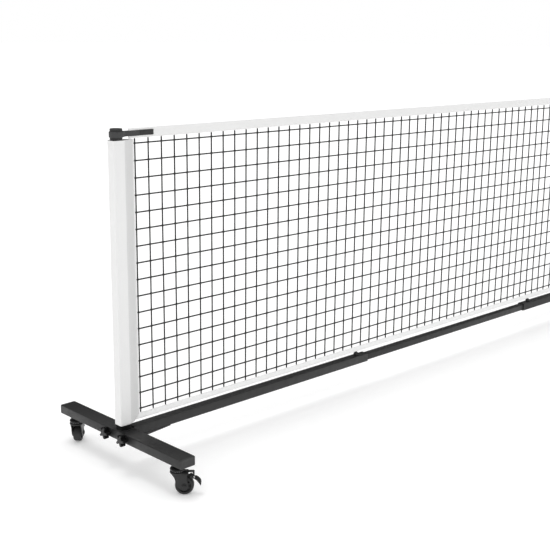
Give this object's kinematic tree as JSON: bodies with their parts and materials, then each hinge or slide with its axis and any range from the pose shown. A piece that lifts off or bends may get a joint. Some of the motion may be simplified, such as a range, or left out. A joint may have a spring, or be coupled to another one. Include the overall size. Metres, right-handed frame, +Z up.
{
  "type": "portable pickleball net",
  "caption": "Portable pickleball net on a low steel frame: posts on foot beams with braked swivel casters, a sectional bottom rail, and a white-bound black mesh.",
  "frame": {"origin": "on the floor under the middle of the net", "axes": "+X along the net, +Y across it, +Z up; the -Y side carries the lf and rf casters"},
  "size_m": [6.8024, 0.555, 0.9142],
  "materials": {
    "powder_coat": "satin black powder coat",
    "caster_steel": "black painted pressed steel",
    "black_plastic": "moulded, satin",
    "wheel": "moulded wheel with a soft tread",
    "white_vinyl": "coated white binding",
    "net_cord": "black twisted cord",
    "strap": "black hook-and-loop webbing",
    "rubber": "matt"
  },
  "bodies": {
    "frame": {"hub_l": "powder_coat", "post_l": "powder_coat", "post_cap_l": "black_plastic", "rail_a_l": "powder_coat", "rail_b_l": "powder_coat", "rail_c_l": "powder_coat", "beam_lf": "powder_coat", "beam_cap_lf": "black_plastic", "caster_mount_lf": "caster_steel", "beam_lb": "powder_coat", "beam_cap_lb": "black_plastic", "caster_mount_lb": "caster_steel", "net_sleeve_l": "white_vinyl", "tension_strap_l": "strap", "hub_r": "powder_coat", "post_r": "powder_coat", "post_cap_r": "black_plastic", "rail_a_r": "powder_coat", "rail_b_r": "powder_coat", "rail_c_r": "powder_coat", "beam_rf": "powder_coat", "beam_cap_rf": "black_plastic", "caster_mount_rf": "caster_steel", "beam_rb": "powder_coat", "beam_cap_rb": "black_plastic", "caster_mount_rb": "caster_steel", "net_sleeve_r": "white_vinyl", "tension_strap_r": "strap", "rail_d": "powder_coat", "net_mesh": "net_cord", "net_tape_top": "white_vinyl", "net_tape_bottom": "white_vinyl", "centre_stand": "powder_coat", "centre_foot_bar": "powder_coat", "foot_boot_f": "rubber", "foot_boot_b": "rubber"},
    "fork_lf": {"caster_fork_lf": "caster_steel"},
    "wheel_lf": {"caster_wheel_lf": "wheel"},
    "pedal_lf": {"caster_pedal_lf": "caster_steel"},
    "knob_lf": {"star_knob_lf": "black_plastic"},
    "fork_lb": {"caster_fork_lb": "caster_steel"},
    "wheel_lb": {"caster_wheel_lb": "wheel"},
    "pedal_lb": {"caster_pedal_lb": "caster_steel"},
    "knob_lb": {"star_knob_lb": "black_plastic"},
    "screw_l1": {"lock_screw_l1": "black_plastic"},
    "screw_l2": {"lock_screw_l2": "black_plastic"},
    "screw_l3": {"lock_screw_l3": "black_plastic"},
    "fork_rb": {"caster_fork_rb": "caster_steel"},
    "wheel_rb": {"caster_wheel_rb": "wheel"},
    "pedal_rb": {"caster_pedal_rb": "caster_steel"},
    "knob_rb": {"star_knob_rb": "black_plastic"},
    "fork_rf": {"caster_fork_rf": "caster_steel"},
    "wheel_rf": {"caster_wheel_rf": "wheel"},
    "pedal_rf": {"caster_pedal_rf": "caster_steel"},
    "knob_rf": {"star_knob_rf": "black_plastic"},
    "screw_r1": {"lock_screw_r1": "black_plastic"},
    "screw_r2": {"lock_screw_r2": "black_plastic"},
    "screw_r3": {"lock_screw_r3": "black_plastic"},
    "knob_centre": {"centre_knob": "black_plastic"}
  },
  "joints": [
    {"name": "swivel_lf", "type": "hinge", "parent": "frame", "child": "fork_lf", "pos_m": [-3.358, -0.228, 0.06], "axis": [0, 0, 1], "continuous": true},
    {"name": "roll_lf", "type": "hinge", "parent": "fork_lf", "child": "wheel_lf", "pos_m": [-3.34514, -0.24059, 0.0245], "axis": [0.6997, 0.7145, 0], "continuous": true},
    {"name": "brake_lf", "type": "hinge", "parent": "fork_lf", "child": "pedal_lf", "pos_m": [-3.33335, -0.25214, 0.0494], "axis": [-0.6997, -0.7145, 0], "range_deg": [0, 12]},
    {"name": "knob_turn_lf", "type": "hinge", "parent": "frame", "child": "knob_lf", "pos_m": [-3.382, -0.0375, 0.0965], "axis": [-1, 0, 0], "range_deg": [0, 900]},
    {"name": "swivel_lb", "type": "hinge", "parent": "frame", "child": "fork_lb", "pos_m": [-3.358, 0.228, 0.06], "axis": [0, 0, 1], "continuous": true},
    {"name": "roll_lb", "type": "hinge", "parent": "fork_lb", "child": "wheel_lb", "pos_m": [-3.34505, 0.2405, 0.0245], "axis": [-0.6947, 0.7193, 0], "continuous": true},
    {"name": "brake_lb", "type": "hinge", "parent": "fork_lb", "child": "pedal_lb", "pos_m": [-3.33318, 0.25197, 0.0494], "axis": [0.6947, -0.7193, 0], "range_deg": [0, 12]},
    {"name": "knob_turn_lb", "type": "hinge", "parent": "frame", "child": "knob_lb", "pos_m": [-3.382, 0.0375, 0.0965], "axis": [-1, 0, 0], "range_deg": [0, 900]},
    {"name": "screw_turn_l1", "type": "hinge", "parent": "frame", "child": "screw_l1", "pos_m": [-2.4146, 0, 0.112], "axis": [0, 0, 1], "range_deg": [0, 900]},
    {"name": "screw_turn_l2", "type": "hinge", "parent": "frame", "child": "screw_l2", "pos_m": [-1.383, 0, 0.112], "axis": [0, 0, 1], "range_deg": [0, 900]},
    {"name": "screw_turn_l3", "type": "hinge", "parent": "frame", "child": "screw_l3", "pos_m": [-0.5146, 0, 0.112], "axis": [0, 0, 1], "range_deg": [0, 900]},
    {"name": "swivel_rb", "type": "hinge", "parent": "frame", "child": "fork_rb", "pos_m": [3.358, 0.228, 0.06], "axis": [0, 0, 1], "continuous": true},
    {"name": "roll_rb", "type": "hinge", "parent": "fork_rb", "child": "wheel_rb", "pos_m": [3.34514, 0.24059, 0.0245], "axis": [-0.6997, -0.7145, 0], "continuous": true},
    {"name": "brake_rb", "type": "hinge", "parent": "fork_rb", "child": "pedal_rb", "pos_m": [3.33335, 0.25214, 0.0494], "axis": [0.6997, 0.7145, 0], "range_deg": [0, 12]},
    {"name": "knob_turn_rb", "type": "hinge", "parent": "frame", "child": "knob_rb", "pos_m": [3.382, 0.0375, 0.0965], "axis": [1, 0, 0], "range_deg": [0, 900]},
    {"name": "swivel_rf", "type": "hinge", "parent": "frame", "child": "fork_rf", "pos_m": [3.358, -0.228, 0.06], "axis": [0, 0, 1], "continuous": true},
    {"name": "roll_rf", "type": "hinge", "parent": "fork_rf", "child": "wheel_rf", "pos_m": [3.34505, -0.2405, 0.0245], "axis": [0.6947, -0.7193, 0], "continuous": true},
    {"name": "brake_rf", "type": "hinge", "parent": "fork_rf", "child": "pedal_rf", "pos_m": [3.33318, -0.25197, 0.0494], "axis": [-0.6947, 0.7193, 0], "range_deg": [0, 12]},
    {"name": "knob_turn_rf", "type": "hinge", "parent": "frame", "child": "knob_rf", "pos_m": [3.382, -0.0375, 0.0965], "axis": [1, 0, 0], "range_deg": [0, 900]},
    {"name": "screw_turn_r1", "type": "hinge", "parent": "frame", "child": "screw_r1", "pos_m": [2.4146, 0, 0.112], "axis": [0, 0, 1], "range_deg": [0, 900]},
    {"name": "screw_turn_r2", "type": "hinge", "parent": "frame", "child": "screw_r2", "pos_m": [1.383, 0, 0.112], "axis": [0, 0, 1], "range_deg": [0, 900]},
    {"name": "screw_turn_r3", "type": "hinge", "parent": "frame", "child": "screw_r3", "pos_m": [0.5146, 0, 0.112], "axis": [0, 0, 1], "range_deg": [0, 900]},
    {"name": "knob_turn_centre", "type": "hinge", "parent": "frame", "child": "knob_centre", "pos_m": [0, -0.0146, 0.098], "axis": [0, -1, 0], "range_deg": [0, 900]}
  ]
}
